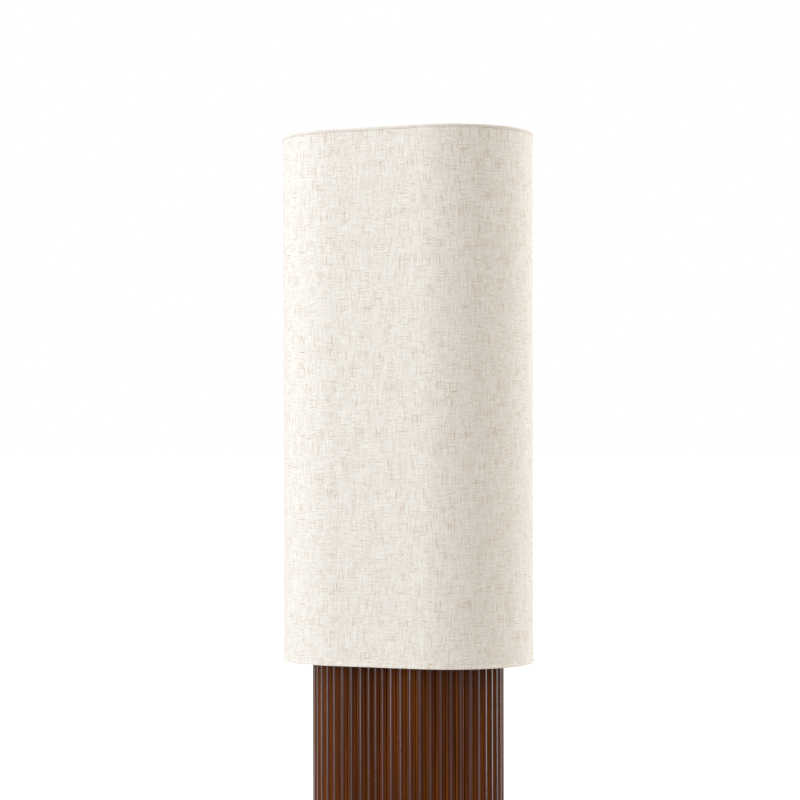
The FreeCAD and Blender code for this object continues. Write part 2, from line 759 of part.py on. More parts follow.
def make_terminals():
    pitch = cell.terminal_width / (TERMINALS * 2)
    body = block(
        cell.terminal_width,
        cell.terminal_depth,
        cell.terminal_height,
        -cell.terminal_width / 2,
        rail_face - cell.terminal_depth,
        cell.terminal_level,
    )
    wells = []
    screws = []
    face = rail_face - cell.terminal_depth
    for number in range(TERMINALS):
        x = pitch * (number - (TERMINALS - 1) / 2)
        level = cell.terminal_level + cell.terminal_height / 2
        well = (x, face, level, ALONG["back"])
        wells.append(cylinder(cell.screw_radius + cell.drill_gap, cell.screw_head_radius, *well))
        screws.append(cylinder(cell.screw_radius, cell.screw_head_radius, *well))
    holes = shaped(Part.makeCompound(at_spots(short_hole, terminal_spots(), (0, 1, 0))))
    keep(cut(cut(body, joined(*wells)), holes), "terminal_block")
    group = document.addObject("Part::Compound", "Group")
    group.Links = screws
    keep(group, "terminal_clamp_screws")
    fixings = at_spots(short_screw, terminal_spots(), (0, 1, 0))
    keep(shaped(Part.makeCompound(fixings)), "terminal_fixing_screws")


def make_lead():
    """The lead from the lamp holder's block down the rod, then back to the terminal block."""
    top = (holder_level + cell.block_level).value
    knee = (rod_bottom - cell.lead_drop).value
    across = lead_radius_at_block().value
    bend = cell.lead_bend_radius.value
    turn = math.acos(1 - across / (2 * bend))
    shortest = bend * math.tan(turn / 2)
    run = across / math.sin(turn)
    corner = FreeCAD.Vector
    corners = [
        corner(0, 0, top),
        corner(0, 0, knee - shortest),
        corner(0, across, knee - shortest - run * math.cos(turn)),
        corner(0, across, (cell.terminal_level + cell.terminal_height).value),
    ]
    path = bent_path(corners, [bend, bend])
    solid = wire_along(path, cell.lead_radius)
    section = math.pi * cell.lead_radius.value**2
    print("inner lead", round(path.Length, 1), "mm; volume over section times length")
    print(round(solid.Volume / (section * path.Length), 4))
    keep(shaped(solid), "inner_lead")


# --- Rod, riser and lamp holder -----------------------------------------------------------------


def make_rod():
    top = holder_level + cell.boss_height
    keep(tube(cell.rod_radius, cell.rod_bore_radius, top - rod_bottom, rod_bottom), "hollow_rod")
    hole = cell.rod_radius + cell.slide_gap
    washer_level = cell.middle_former_level - cell.nut_washer_thick
    keep(tube(cell.nut_washer_radius, hole, cell.nut_washer_thick, washer_level), "rod_washer")
    nut_level = washer_level - cell.nut_thick
    nut = document.addObject("Part::Prism", "Nut")
    nut.Polygon = 6
    bind(nut, "Circumradius", cell.nut_radius)
    bind(nut, "Height", cell.nut_thick)
    place(nut, 0, 0, nut_level)
    keep(cut(nut, cylinder(hole, cell.nut_thick, z=nut_level)), "rod_nut")
    keep(tube(cell.flange_radius, hole, cell.flange_thick, column_top), "riser_foot_plate")
    bore = cell.riser_radius - cell.riser_wall
    keep(tube(cell.riser_radius, bore, collar_level - flange_top, flange_top), "riser_tube")
    keep(tube(cell.collar_radius, hole, cell.collar_thick, collar_level), "riser_collar")


def make_saddle():
    length = (cell.harp_foot_out + cell.ferrule_radius + cell.ear_thick) * 2
    width, floor = cell.saddle_width, cell.saddle_thick
    plate = block(length, width, floor, -length / 2, -width / 2, saddle_level)
    out = cell.harp_foot_out + cell.harp_wire_radius + cell.slide_gap
    ears = [
        block(cell.ear_thick, cell.ear_width, cell.ear_height, x, -cell.ear_width / 2, saddle_level)
        for x in (out, -out - cell.ear_thick)
    ]
    hole = cylinder(cell.rod_radius + cell.slide_gap, floor, z=saddle_level)
    keep(cut(joined(plate, *ears), hole), "harp_saddle")


def make_lamp_holder():
    base = holder_level
    wall, cap = cell.sheet_metal, cell.cap_radius
    thread_hole = cell.rod_radius + cell.slide_gap / 2
    boss = cylinder(cell.boss_radius, cell.boss_height, z=base)
    flare_height = cell.cap_height / 2 - cell.boss_height / 2
    low = base + cell.boss_height / 2
    flare = cone(cell.boss_radius, cap, flare_height, low)
    bowl_height = cell.cap_height - flare_height - cell.boss_height / 2
    bowl = cylinder(cap, bowl_height, z=low + flare_height)
    hollow_flare = cone(cell.boss_radius - wall, cap - wall, flare_height, low + wall)
    hollow_low = low + wall + flare_height
    hollow = cylinder(cap - wall, cell.cap_height, z=hollow_low)
    shell = cut(joined(boss, flare, bowl), joined(hollow_flare, hollow))
    inner_boss = cylinder(cell.boss_radius - wall, cell.boss_height, z=base)
    bore = cylinder(thread_hole, cell.cap_height, z=base)
    keep(cut(joined(shell, inner_boss), bore), "holder_cap")

    shell_radius = cap - wall - cell.glue_gap
    shell_level = base + cell.cap_height - cell.shell_lap
    shell_height = base + cell.shell_top - shell_level
    spindle = base + cell.spindle_level
    way = ALONG["front"]
    opening = cylinder(cell.spindle_radius + cell.drill_gap, cap, 0, 0, spindle, way)
    outer = tube(shell_radius, shell_radius - wall, shell_height, shell_level)
    keep(cut(outer, opening), "holder_shell")
    sleeve_radius = shell_radius - wall - cell.glue_gap
    sleeve_bore = sleeve_radius - cell.liner_wall
    sleeve = tube(sleeve_radius, sleeve_bore, shell_height - cell.liner_wall, shell_level)
    keep(cut(sleeve, opening), "holder_sleeve")
    block_radius = sleeve_bore - cell.glue_gap
    moulding = cylinder(block_radius, cell.block_height, z=base + cell.block_level)
    keep(cut(moulding, opening), "holder_block")
    seat = base + cell.block_level + cell.block_height
    thread_radius = cell.thread_bore_radius + cell.thread_wall
    keep(
        tube(thread_radius, cell.thread_bore_radius, cell.thread_height, seat),
        "holder_threaded_sleeve",
    )
    keep(cylinder(cell.contact_radius, cell.contact_thick, z=seat), "holder_contact")

    knob_start = shell_radius + cell.knob_off
    reach = knob_start + cell.knob_length - cell.spindle_depth
    pin = cylinder(cell.spindle_radius, reach, 0, -cell.spindle_depth, spindle, way)
    keep(pin, "switch_spindle")
    knob = cylinder(cell.knob_radius, cell.knob_length, 0, -knob_start, spindle, way)
    bore = cylinder(
        cell.spindle_radius + cell.glue_gap, cell.knob_length, 0, -knob_start, spindle, way
    )
    grooves = []
    for number in range(KNOB_GROOVES):
        angle = 2 * math.pi * number / KNOB_GROOVES
        x = cell.knob_radius * round(math.cos(angle), 6)
        z = spindle + cell.knob_radius * round(math.sin(angle), 6)
        grooves.append(cylinder(cell.knob_groove_radius, cell.knob_length, x, -knob_start, z, way))
    keep(cut(cut(knob, joined(*grooves)), bore), "switch_knob")


# --- Bulb ---------------------------------------------------------------------------------------


def bulb_profile(base, offset):
    """The half outline of the bulb's glass, moved inwards by an offset, and its end points."""
    neck = cell.bulb_neck_radius.value
    round_radius = cell.bulb_radius.value - offset
    curve = cell.bulb_shoulder_radius.value
    start = base + cell.bulb_neck_height.value
    span = curve + cell.bulb_radius.value
    rise = math.sqrt(span**2 - (neck + curve) ** 2)
    centre = start + rise
    corner = FreeCAD.Vector
    hollow = corner(neck + curve, 0, start)
    middle = corner(0, 0, centre)
    way = (middle - hollow).normalize()
    meet = hollow + way * (curve + offset)
    first = corner(neck - offset, 0, start)
    between = ((first - hollow).normalize() + way).normalize()
    shoulder = Part.Arc(first, hollow + between * (curve + offset), meet)
    top = corner(0, 0, centre + round_radius)
    side = middle + ((meet - middle).normalize() + corner(0, 0, 1)).normalize() * round_radius
    crown = Part.Arc(meet, side, top)
    foot = corner(neck - offset, 0, base)
    return foot, top, [Part.LineSegment(foot, first), shoulder, crown]


def make_bulb():
    seat = holder_level + cell.block_level + cell.block_height + cell.contact_thick
    contact = seat + cell.slide_gap
    keep(cylinder(cell.contact_radius, cell.contact_thick, z=contact), "bulb_contact")
    insulator = contact + cell.contact_thick
    keep(
        cone(
            cell.contact_radius,
            cell.bulb_cap_radius - cell.glue_gap,
            cell.bulb_insulator_height,
            insulator,
        ),
        "bulb_insulator",
    )
    cap = insulator + cell.bulb_insulator_height
    keep(cylinder(cell.bulb_cap_radius, cell.bulb_cap_height, z=cap), "bulb_cap")
    glass = (cap + cell.bulb_cap_height).value
    outer_foot, outer_top, outer = bulb_profile(glass, 0)
    inner_foot, inner_top, inner = bulb_profile(glass, cell.bulb_wall.value)
    ends = [Part.LineSegment(outer_foot, inner_foot), Part.LineSegment(outer_top, inner_top)]
    edges = Part.__sortEdges__([curve.toShape() for curve in outer + inner + ends])
    face = Part.Face(Part.Wire(edges))
    solid = face.revolve(FreeCAD.Vector(), FreeCAD.Vector(0, 0, 1), 360)
    keep(shaped(solid), "bulb_glass")


# --- Harp and shade -----------------------------------------------------------------------------


def make_harp():
    foot, side = cell.harp_foot_out.value, cell.harp_out.value
    low = (holder_level + cell.slide_gap).value
    seat_low = spider_level - cell.seat_thick
    top = (seat_low + cell.harp_wire_radius / 2).value
    knee = (saddle_level + cell.harp_foot_height).value
    shoulder = (saddle_level + cell.harp_shoulder_height).value
    heights = [(foot, low), (foot, knee), (side, shoulder), (side, top)]
    right = [FreeCAD.Vector(x, 0, z) for x, z in heights]
    left = [FreeCAD.Vector(-x, 0, z) for x, z in reversed(heights)]
    bend = cell.harp_shoulder_radius.value
    path = bent_path(right + left, [bend, bend, side, side, bend, bend])
    bail = shaped(wire_along(path, cell.harp_wire_radius))
    seat = cylinder(cell.seat_radius, cell.seat_thick, z=seat_low)
    stud = cylinder(cell.stud_radius, cell.stud_height, z=spider_level)
    keep(joined(bail, seat, stud), "harp")
    middle = cell.harp_foot_out + (cell.ear_thick + cell.slide_gap) / 2
    level = holder_level + cell.slide_gap
    for x, name in ((-middle, "left_ferrule"), (middle, "right_ferrule")):
        sleeve = cylinder(cell.ferrule_radius, cell.ferrule_length, x, 0, level)
        keep(cut(sleeve, cylinder(cell.ferrule_bore_radius, cell.ferrule_length, x, 0, level)), name)


def make_spider():
    level = (spider_level + cell.washer_thick / 2).value
    top = (cell.lamp_height - cell.hem_thick - cell.ring_wire_radius * 2).value
    start = (cell.washer_radius - cell.arm_wire_radius).value
    long_way = (cell.shade_half_flat + ring_radius).value
    arms = []
    for x, y, reach in ((1, 0, long_way), (-1, 0, long_way), (0, 1, None), (0, -1, None)):
        reach = reach or ring_radius.value
        way = FreeCAD.Vector(x, y, 0)
        corners = [way * start, way * reach, way * reach]
        for corner, height in zip(corners, (level, level, top)):
            corner.z = height
        path = bent_path(corners, [cell.arm_bend_radius.value])
        arms.append(shaped(wire_along(path, cell.arm_wire_radius)))
    washer = cylinder(cell.washer_radius, cell.washer_thick, z=spider_level)
    hole = cylinder(cell.stud_radius + cell.drill_gap * 2, cell.washer_thick, z=spider_level)
    keep(joined(cut(washer, hole), *arms), "shade_spider")


def make_rings():
    reach = cell.hem_thick + cell.ring_wire_radius
    for name, level in (
        ("shade_top_ring", cell.lamp_height - reach),
        ("shade_bottom_ring", shade_bottom + reach),
    ):
        path = oval_path(cell.shade_half_flat, ring_radius, level)
        keep(shaped(wire_along(path, cell.ring_wire_radius)), name)


def make_shade():
    flat, outside = cell.shade_half_flat, cell.shade_end_radius
    level = shade_bottom + cell.hem_thick
    height = cell.shade_height - cell.hem_thick * 2
    skin = oval_wall(level, height, flat, outside, outside - cell.fabric_thick)
    keep(skin, "shade_linen")
    lining = oval_wall(level, height, flat, liner_radius, liner_radius - cell.liner_thick)
    keep(lining, "shade_liner")
    bore = lip_radius - cell.hem_thick
    top_level = cell.lamp_height - cell.hem_thick
    lip = cell.hem_lip
    bottom = oval_wall(shade_bottom, cell.hem_thick, flat, outside, bore)
    keep(oval_wall(level, lip, flat, lip_radius, bore, bottom), "shade_bottom_hem")
    top = oval_wall(top_level - lip, lip, flat, lip_radius, bore)
    keep(oval_wall(top_level, cell.hem_thick, flat, outside, bore, top), "shade_top_hem")


def make_finial():
    level = spider_level + cell.washer_thick
    waist = level + cell.finial_foot_height
    foot = cylinder(cell.finial_foot_radius, cell.finial_foot_height, z=level)
    neck_height = cell.finial_waist_height + cell.finial_ball_radius / 2
    neck = cylinder(cell.finial_waist_radius, neck_height, z=waist)
    centre = waist + cell.finial_waist_height + cell.finial_ball_radius
    bead = ball(cell.finial_ball_radius, centre - cell.finial_ball_radius / 8)
    bore = cylinder(cell.stud_radius + cell.glue_gap, cell.stud_height, z=level)
    keep(cut(joined(foot, neck, bead), bore), "finial")


def main():
    for make in (
        make_column,
        make_formers,
        make_lid,
        make_base,
        make_shell_screws,
        make_gland,
        make_terminals,
        make_lead,
        make_rod,
        make_saddle,
        make_lamp_holder,
        make_bulb,
        make_harp,
        make_spider,
        make_rings,
        make_shade,
        make_finial,
    ):
        make()
    document.recompute()
    for thing in document.Objects:
        if {"Invalid", "Error"} & set(thing.State):
            raise RuntimeError(f"{thing.Label} failed: {thing.State}")
    for part in parts:
        if part.Shape.isNull() or not part.Shape.isValid() or not part.Shape.Solids:
            raise RuntimeError(f"{part.Label} has no sound solid")
    os.makedirs("parts", exist_ok=True)
    for part in parts:
        part.Shape.exportStep(f"parts/{part.Label}.step")
        print(part.Label, len(part.Shape.Solids), round(part.Shape.Volume))


main()
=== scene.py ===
"""Column floor lamp: the looks of its wood, linen, metal and glass, and the studio round it."""

import math

import bpy
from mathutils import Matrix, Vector


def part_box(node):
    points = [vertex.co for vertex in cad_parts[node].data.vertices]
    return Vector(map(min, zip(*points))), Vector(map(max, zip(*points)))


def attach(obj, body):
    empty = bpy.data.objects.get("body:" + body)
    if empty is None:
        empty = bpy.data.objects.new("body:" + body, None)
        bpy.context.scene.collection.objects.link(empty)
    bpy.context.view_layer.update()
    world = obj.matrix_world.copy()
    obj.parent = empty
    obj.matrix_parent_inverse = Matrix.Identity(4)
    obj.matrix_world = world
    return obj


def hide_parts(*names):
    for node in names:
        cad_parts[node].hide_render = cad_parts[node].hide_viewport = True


bl_info = {
    "name": "Column Floor Lamp",
    "version": (1, 0, 0),
    "blender": (4, 5, 0),
    "location": "3D View > Sidebar > Lamp",
    "description": "Dresses the solids of a reeded column floor lamp with an oval linen shade",
    "category": "Add Mesh",
}

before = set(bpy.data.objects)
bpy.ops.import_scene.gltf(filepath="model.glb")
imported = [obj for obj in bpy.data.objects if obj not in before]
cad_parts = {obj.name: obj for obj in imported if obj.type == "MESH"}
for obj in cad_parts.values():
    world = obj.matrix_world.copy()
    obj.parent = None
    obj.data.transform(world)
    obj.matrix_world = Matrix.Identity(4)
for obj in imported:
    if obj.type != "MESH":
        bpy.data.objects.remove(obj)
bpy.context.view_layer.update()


def lengths(**extra):
    """A length that the user may change."""
    return bpy.props.FloatProperty(unit="LENGTH", subtype="DISTANCE", **extra)


def colours(**extra):
    """A colour that the user may change."""
    return bpy.props.FloatVectorProperty(subtype="COLOR", size=3, min=0, max=1, **extra)


class LampShadeSizes(bpy.types.PropertyGroup):
    """Sizes and colours of the linen shade"""

    half_flat: lengths(name="Half flat", description="Half the straight run of the oval", default=0.066)
    end_radius: lengths(name="End radius", description="Radius of the round ends", default=0.118)
    cloth: lengths(name="Cloth", description="Thickness of the linen", default=0.0008)
    hem: lengths(name="Hem", description="Thickness of the linen over the rim", default=0.0007)
    hem_depth: lengths(name="Hem depth", description="A hem's outer to its inner face", default=0.0063)
    hem_fold: lengths(name="Hem fold", description="Width of the folded tape at a rim", default=0.0045)
    lap: lengths(name="Lap", description="Overlap of the linen at the back seam", default=0.012)
    seam_spot: lengths(name="Seam", description="The back seam from the middle of the back", default=0.03)
    seam_rise: lengths(name="Seam rise", description="Height of the lapped linen", default=0.00045)
    draw_in: lengths(name="Draw in", description="How far the linen draws in at mid height", default=0.0006)
    thread: lengths(name="Thread", description="Distance between two threads", default=0.0016)
    linen: colours(name="Linen", description="Colour of the bleached threads", default=(0.92, 0.87, 0.805))
    slub: colours(name="Slub", description="Colour of the thick raw threads", default=(0.53, 0.345, 0.21))


class LampColumnSizes(bpy.types.PropertyGroup):
    """Sizes and colours of the reeded column"""

    half_flat: lengths(name="Half flat", description="Half the straight run of the oval", default=0.041)
    end_radius: lengths(name="End radius", description="Radius over the reeds", default=0.099)
    wall: lengths(name="Wall", description="Reed crest to inner face", default=0.015)
    reed_depth: lengths(name="Reed depth", description="Groove below the crests", default=0.0036)
    strip_reed: lengths(name="Strip reed", description="Width of a closing strip's reed", default=0.0105)
    strip_shift: lengths(name="Strip shift", description="Closing strip off the middle", default=0.008)
    joint: lengths(name="Joint", description="Hairline beside a closing strip", default=0.00015)
    shell_reeds: bpy.props.IntProperty(name="Shell reeds", description="Reeds of a half shell", default=25)
    strip_reeds: bpy.props.IntProperty(name="Strip reeds", description="Reeds of a strip", default=3)
    reed_steps: bpy.props.IntProperty(name="Steps", description="Faces across one reed", default=14)
    wood: colours(name="Wood", description="Colour of the stained wood", default=(0.066, 0.0142, 0.0043))
    # Amber is lacquer pooled in the grooves, and also a painted glow of light bounced between the reeds.
    amber_and_painted_glow: colours(name="Amber", description="Lacquer pooled in the grooves", default=(0.25, 0.074, 0.0026))
    gloss: bpy.props.FloatProperty(name="Gloss", description="Strength of the lacquer's gloss", default=0.05)
    # Dark is the colour of the pores, and also the painted shade with the stain at the bottom of the
    # grooves.
    dark: colours(name="Dark grain", description="Colour of the pores", default=(0.02, 0.006, 0.0022))
    gland_neck: bpy.props.FloatProperty(
        name="Gland neck", description="Share of the gland's flange that passes the wood", default=0.742
    )


class LampStudioSizes(bpy.types.PropertyGroup):
    """Camera, floor and light"""

    lens: bpy.props.FloatProperty(name="Lens", description="Focal length in mm", default=106.3)
    sensor: bpy.props.FloatProperty(name="Sensor", description="Its width in mm", default=36.0)
    distance: lengths(name="Distance", description="Camera to the lamp's axis", default=3.3855)
    level: lengths(name="Level", description="Camera above the floor", default=1.0582)
    turn: bpy.props.FloatProperty(
        name="Turn", description="Camera round the lamp", default=math.radians(22.53), subtype="ANGLE"
    )
    roll: bpy.props.FloatProperty(
        name="Roll", description="Camera about its view", default=0.002, subtype="ANGLE"
    )
    picture: bpy.props.IntProperty(name="Picture", description="Its width in pixels", default=800)
    shift_right: bpy.props.FloatProperty(name="Shift right", description="In pixels", default=-7.38)
    shift_up: bpy.props.FloatProperty(name="Shift up", description="In pixels", default=45.4)
    ambient: bpy.props.FloatProperty(name="Ambient", description="Light from all round", default=0.835)
    tint: colours(name="Tint", description="Colour of the light from all round", default=(1.0, 0.925, 0.83))
    floor: colours(name="Floor", description="Colour of the floor", default=(0.4, 0.4, 0.4))
    floor_size: lengths(name="Floor size", description="Side of the square floor", default=500)
    pool: lengths(name="Pool", description="Round the lamp, where the floor keeps its shadow", default=1.2)
    reach: lengths(name="Reach", description="From the lamp to where the floor is all white", default=3.2)
    aim: lengths(name="Aim", description="Level at which the softboxes point", default=1.0)


# Each softbox. Its azimuth is in degrees: 0 is in front of the lamp and 90 to the right of it.
SOFTBOXES = (
    {
        "name": "left_strip",
        "azimuth": -70,
        "distance": 2.8,
        "level": 2.0,
        "size": (0.22, 3.9),
        "power": 31,
        "colour": (0.9, 1.0, 1.13),
    },
    {
        "name": "front_strip",
        "azimuth": -24,
        "distance": 3.0,
        "level": 2.0,
        "size": (0.34, 3.9),
        "power": 43,
        "colour": (0.93, 1.0, 1.09),
    },
    {
        "name": "back_softbox",
        "azimuth": 127,
        "distance": 2.8,
        "level": 1.8,
        "size": (0.5, 3.5),
        "power": 56,
        "colour": (0.96, 1.0, 1.04),
    },
)


# --- Shader maths -------------------------------------------------------------------------------

# Soft noise lies mostly in this range.
SPREAD = (0.3, 0.7)


class Wire:
    """A socket of a material's nodes, or a number, with arithmetic on it."""

    def __init__(self, paint, value):
        self.paint = paint
        self.value = value

    def maths(self, operation, *others):
        return self.paint.node("Math", {"operation": operation}, self, *others)

    def __add__(self, other):
        return self.maths("ADD", other)

    def __sub__(self, other):
        return self.maths("SUBTRACT", other)

    def __rsub__(self, other):
        return Wire(self.paint, other).maths("SUBTRACT", self)

    def __mul__(self, other):
        return self.maths("MULTIPLY", other)

    __radd__ = __add__
    __rmul__ = __mul__

    def bounded(self, low, high, to_low=0.0, to_high=1.0):
        """This value carried from one range to another, and held inside it."""
        return self.paint.node("MapRange", {"clamp": True}, self, low, high, to_low, to_high)


class Paint:
    """The nodes of a material, or of the world, under construction."""

    def __init__(self, owner):
        owner.use_nodes = True
        self.owner = owner
        self.nodes = owner.node_tree.nodes
        self.links = owner.node_tree.links
        self.shader = self.nodes.get("Principled BSDF") or self.nodes["Background"]

    def put(self, socket, value):
        """Links a wire to a socket, or writes a number, vector or colour on it."""
        if isinstance(value, Wire):
            value = value.value
        if isinstance(value, bpy.types.NodeSocket):
            self.links.new(value, socket)
        elif value is not None:
            if socket.type == "RGBA" and len(value) == 3:
                value = (*value, 1)
            socket.default_value = value

    def node(self, kind, settings, *values, out=0, **named):
        """Adds a node, gives it its settings, then the values or links of its sockets."""
        made = self.nodes.new("ShaderNode" + kind)
        for key, value in settings.items():
            setattr(made, key, value)
        for socket, value in zip(made.inputs, values):
            self.put(socket, value)
        for key, value in named.items():
            self.put(made.inputs[key.replace("_", " ")], value)
        return Wire(self, made.outputs[out])

    def place(self):
        """Object coordinates, in metres."""
        return self.node("TexCoord", {}, out=3)

    def scaled(self, vector, x, y, z):
        """The vector, each axis multiplied by how often per metre a pattern changes along it."""
        return self.node("VectorMath", {"operation": "MULTIPLY"}, vector, (x, y, z))

    def split(self, vector):
        made = self.node("SeparateXYZ", {}, vector).value.node
        return [Wire(self, socket) for socket in made.outputs]

    def vector(self, x, y, z=0):
        return self.node("CombineXYZ", {}, x, y, z)

    def noise(self, vector, scale=1, detail=2, roughness=0.6):
        return self.node(
            "TexNoise", {}, Vector=vector, Scale=scale, Detail=detail, Roughness=roughness
        )

    def mix(self, factor, one, other):
        """A colour between two, past the five sockets that the node keeps for other kinds."""
        others = [None] * 5
        return self.node("Mix", {"data_type": "RGBA"}, factor, *others, one, other, out=2)

    def seen(self):
        """1 for what the camera sees, also in metal and through glass, and 0 for light on the lamp."""
        path = self.node("LightPath", {}).value.node
        rays = [Wire(self, path.outputs[f"Is {kind} Ray"]) for kind in ("Camera", "Glossy", "Transmission")]
        return (rays[0] + rays[1] + rays[2]).bounded(0, 1)

    def bump(self, height, depth, strength):
        bump = self.node("Bump", {}, Strength=strength, Distance=depth, Height=height)
        self.put(self.shader.inputs["Normal"], bump)

    def finish(self, **sockets):
        """Sets the shader's own sockets, and gives back the material or world."""
        for key, value in sockets.items():
            self.put(self.shader.inputs[key.replace("_", " ")], value)
        return self.owner


def new_paint(name):
    return Paint(bpy.data.materials.new(name))


def walnut(name, sizes, reeded=True):
    """Stained and lacquered wood with upright grain, pores and slow changes of tone."""
    paint = new_paint(name)
    place = paint.place()
    band_scale, figure_scale, pore_scale = (38, 38, 1.6), (190, 190, 5), (1500, 1500, 28)
    broad = paint.noise(paint.scaled(place, *band_scale), detail=3, roughness=0.55)
    figure = paint.noise(paint.scaled(place, *figure_scale), detail=4)
    pores = paint.noise(paint.scaled(place, *pore_scale)).bounded(0.58, 0.72)
    tone = broad.bounded(0.3, 0.72) * 0.5 + figure.bounded(*SPREAD) * 0.5
    warm = [c * 1.4 for c in sizes.wood]
    deep = [(wood + dark) / 2 for wood, dark in zip(sizes.wood, sizes.dark)]
    colour = paint.mix(tone, deep, warm)
    colour = paint.mix(pores * 0.5, colour, tuple(sizes.dark))
    rubbed = figure.bounded(*SPREAD, 0.55, 1.0)
    if reeded:
        # From 0 in a groove to 1 on a crest: the bottom of the groove is darkened, as stain and as painted
        # shade;
        # amber goes up the flanks, partly as lacquer and partly as a painted glow; the gloss begins below
        # the crest.
        crest = paint.split(paint.node("UVMap", {"uv_map": "reed"}))[0]
        rubbed = rubbed * crest.bounded(0.7, 0.96)
        # Amber up the flanks: lacquer pooled there, and a painted glow of light bounced between the reeds.
        pooled = crest.bounded(0.2, 0.6, 1.0, 0.0) * figure.bounded(0.36, 0.62, 0.2, 1.0)
        colour = paint.mix(pooled * 0.85, colour, tuple(sizes.amber_and_painted_glow))
        # Painted shade: the bottom of each groove is darkened, with the stain that lies there.
        groove_stain_and_shade = crest.bounded(0.0, 0.2, 0.95, 0.0)
        colour = paint.mix(groove_stain_and_shade, colour, tuple(sizes.dark))
    gloss = figure * 0.06 + pores * 0.08 + 0.13
    paint.bump(figure * 0.35 - pores * 0.5, depth=0.00012, strength=0.4)
    return paint.finish(
        Base_Color=colour,
        Roughness=gloss,
        Specular_IOR_Level=sizes.gloss,
        Coat_Weight=rubbed,
        Coat_Roughness=0.16,
    )


def linen(name, sizes, share=1.0):
    """Plain weave of uneven threads both ways, with thick raw threads and specks here and there. A share
    below 1 darkens the whole cloth as painted shade.
    """
    paint = new_paint(name)
    pitch = 1 / sizes.thread
    # The map is in metres. This is how often per metre of its length a thread changes, for warp, weft
    # and the raw threads both ways, and how often the share of raw ones does. What is added to u or v
    # only moves a pattern off the others.
    warp_run, weft_run, raw_up_run, raw_over_run, drift_run = 26, 34, 46, 56, 45
    u, v, _ = paint.split(paint.node("UVMap", {"uv_map": "cloth"}))
    warp = paint.noise(paint.vector(u * pitch, v * warp_run)).bounded(*SPREAD)
    weft = paint.noise(paint.vector(u * weft_run, v * pitch)).bounded(*SPREAD)
    fine = paint.vector(u * pitch, v * pitch)
    fine = paint.noise(fine, scale=1.2, detail=1, roughness=0.5).bounded(*SPREAD)
    drift = paint.noise(paint.vector(u * drift_run, v * drift_run), detail=3).bounded(*SPREAD)
    weave = warp * 0.42 + weft * 0.3 + fine * 0.28
    shade = [c * 0.77 * share for c in sizes.linen]
    light = [min(1, c * 1.18 * share) for c in sizes.linen]
    colour = paint.mix(weave, shade, light)
    raw_up = paint.noise(paint.vector(u * pitch + 7, v * raw_up_run)).bounded(0.535, 0.74)
    raw_over = paint.noise(paint.vector(u * raw_over_run, v * pitch + 3)).bounded(0.545, 0.75)
    speck = paint.vector(u * pitch + 5, v * pitch)
    speck = paint.noise(speck, scale=0.9, detail=1, roughness=0.5).bounded(0.57, 0.73)
    raw = raw_up.maths("MAXIMUM", raw_over).maths("MAXIMUM", speck * 0.9)
    raw = raw * (drift * 0.7 + 0.5)
    colour = paint.mix(raw * 0.8, colour, tuple(sizes.slub))
    paint.bump(warp + weft * 0.8 + raw * 0.8 + fine * 0.6, depth=0.0002, strength=0.5)
    return paint.finish(Base_Color=colour, Roughness=0.92, Specular_IOR_Level=0.1, Sheen_Weight=0.08)


def metal(name, colour, roughness):
    """Plated or bare metal, with a fine lay of polishing marks and a little tarnish."""
    paint = new_paint(name)
    place = paint.place()
    lay = paint.noise(paint.scaled(place, 220, 220, 2000))
    cloud = paint.noise(place, scale=60, detail=3)
    dull = [c * 0.72 for c in colour]
    shade = paint.mix(cloud.bounded(0.35, 0.75) * 0.25, colour, dull)
    paint.bump(lay, depth=0.000004, strength=0.3)
    return paint.finish(Base_Color=shade, Metallic=1.0, Roughness=lay * 0.12 + (roughness - 0.06))


def plain(name, colour, roughness, grain=900, depth=0.00004, change=0.12):
    """Paint, plastic or rubber with its moulded grain."""
    paint = new_paint(name)
    place = paint.place()
    grains = paint.noise(place, scale=grain)
    cloud = paint.noise(place, scale=45, detail=3)
    other = [min(1, c * (1 + change * 2) + change * 0.02) for c in colour]
    shade = paint.mix(cloud.bounded(*SPREAD), colour, other)
    paint.bump(grains, depth=depth, strength=0.5)
    return paint.finish(
        Base_Color=shade,
        Roughness=grains * 0.1 + (roughness - 0.05),
        Specular_IOR_Level=0.4,
    )


def timber(name, light, dark, layers=0):
    """Sawn or laminated timber, or pressed fibre, for what stays out of sight."""
    paint = new_paint(name)
    place = paint.place()
    if layers:
        _, _, z = paint.split(place)
        ply = (z * layers).maths("FRACT").bounded(0.42, 0.58)
        grain = paint.noise(paint.scaled(place, 20, 300, 300), detail=3)
        tone = ply * 0.6 + grain * 0.4
    else:
        tone = paint.noise(paint.scaled(place, 260, 260, 9), detail=4).bounded(*SPREAD)
    paint.bump(tone, depth=0.0001, strength=0.4)
    return paint.finish(
        Base_Color=paint.mix(tone, light, dark),
        Roughness=tone * 0.15 + 0.6,
        Specular_IOR_Level=0.25,
    )


def frosted(name):
    """Bulb glass with an even white frosting inside."""
    paint = new_paint(name)
    cloud = paint.noise(paint.place(), scale=120, roughness=0.5)
    return paint.finish(
        Base_Color=paint.mix(cloud, (0.9, 0.9, 0.88), (0.96, 0.96, 0.95)),
        Roughness=cloud * 0.06 + 0.3,
        Transmission_Weight=0.1,
        IOR=1.45,
    )


# --- Modelling helpers --------------------------------------------------------------------------


def only(piece):
    """Selects one object and nothing else."""
    if bpy.context.object and bpy.context.object.mode != "OBJECT":
        bpy.ops.object.mode_set(mode="OBJECT")
    bpy.ops.object.select_all(action="DESELECT")
    piece.select_set(True)
    bpy.context.view_layer.objects.active = piece


